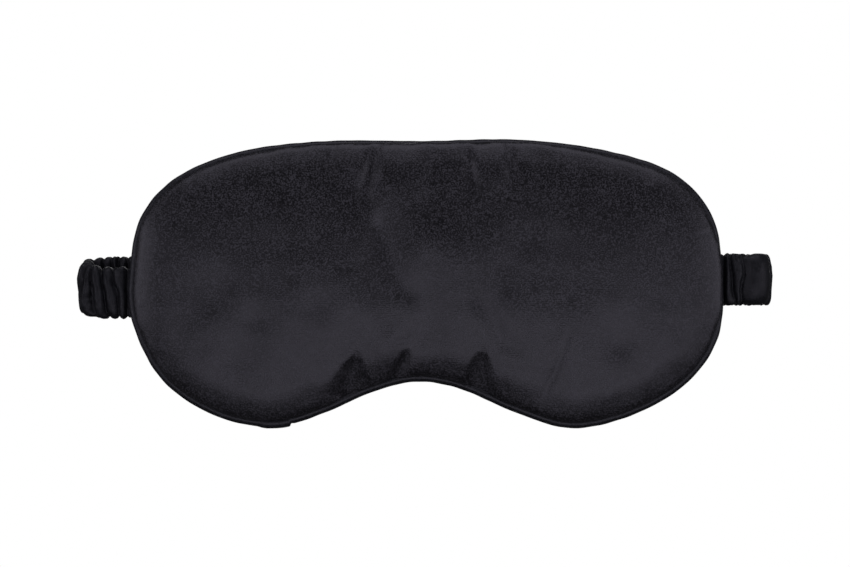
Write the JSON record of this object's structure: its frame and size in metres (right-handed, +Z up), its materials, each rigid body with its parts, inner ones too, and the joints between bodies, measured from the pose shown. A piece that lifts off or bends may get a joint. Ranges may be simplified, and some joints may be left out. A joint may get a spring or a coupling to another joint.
{
  "type": "sleep eye mask",
  "caption": "Padded black satin sleep mask with corded piping round its edge and a gathered elastic head strap.",
  "frame": {"origin": "middle of the flat face side, where the mask rests on the wearer", "axes": "+X along the mask to the right as its front is looked at, +Z up as worn, -Y out of the front"},
  "size_m": [0.246, 0.0245, 0.1024],
  "materials": {
    "mask_satin": "satin weave with a soft sheen",
    "piping_satin": "satin weave wrapped tight over a cord",
    "strap_satin": "gathered satin",
    "lining": "close plain weave",
    "batting": "soft fibre wadding",
    "cotton_cord": "twisted cord",
    "thread": "spun thread",
    "elastic": "knitted elastic web"
  },
  "bodies": {
    "mask": {"front_panel": "mask_satin", "blackout_lining": "lining", "padding": "batting", "back_panel": "mask_satin", "piping_cover": "piping_satin", "piping_cord": "cotton_cord", "seam_thread": "thread", "closing_stitches": "thread", "sleeve_end_left": "strap_satin", "sleeve_end_right": "strap_satin", "elastic_end_left": "elastic", "elastic_end_right": "elastic", "bartack_left": "thread", "bartack_right": "thread"},
    "strap_loop": {"sleeve_turn_left": "strap_satin", "sleeve_turn_right": "strap_satin", "elastic_turn_left": "elastic", "elastic_turn_right": "elastic", "sleeve_side_left": "strap_satin", "sleeve_side_right": "strap_satin", "elastic_side_left": "elastic", "elastic_side_right": "elastic"},
    "strap_back": {"sleeve_back": "strap_satin", "elastic_back": "elastic"}
  },
  "joints": [
    {"name": "strap_swing", "type": "hinge", "parent": "mask", "child": "strap_loop", "pos_m": [0, -0.00235, -0.001], "axis": [1, 0, 0], "range_deg": [-30, 30], "stiffness_Nm_per_rad": 0.02},
    {"name": "strap_stretch", "type": "slide", "parent": "strap_loop", "child": "strap_back", "axis": [0, 1, 0], "range_m": [0, 0.16], "stiffness_N_per_m": 25, "deforming": ["sleeve_side_left", "sleeve_side_right", "elastic_side_left", "elastic_side_right"]}
  ]
}
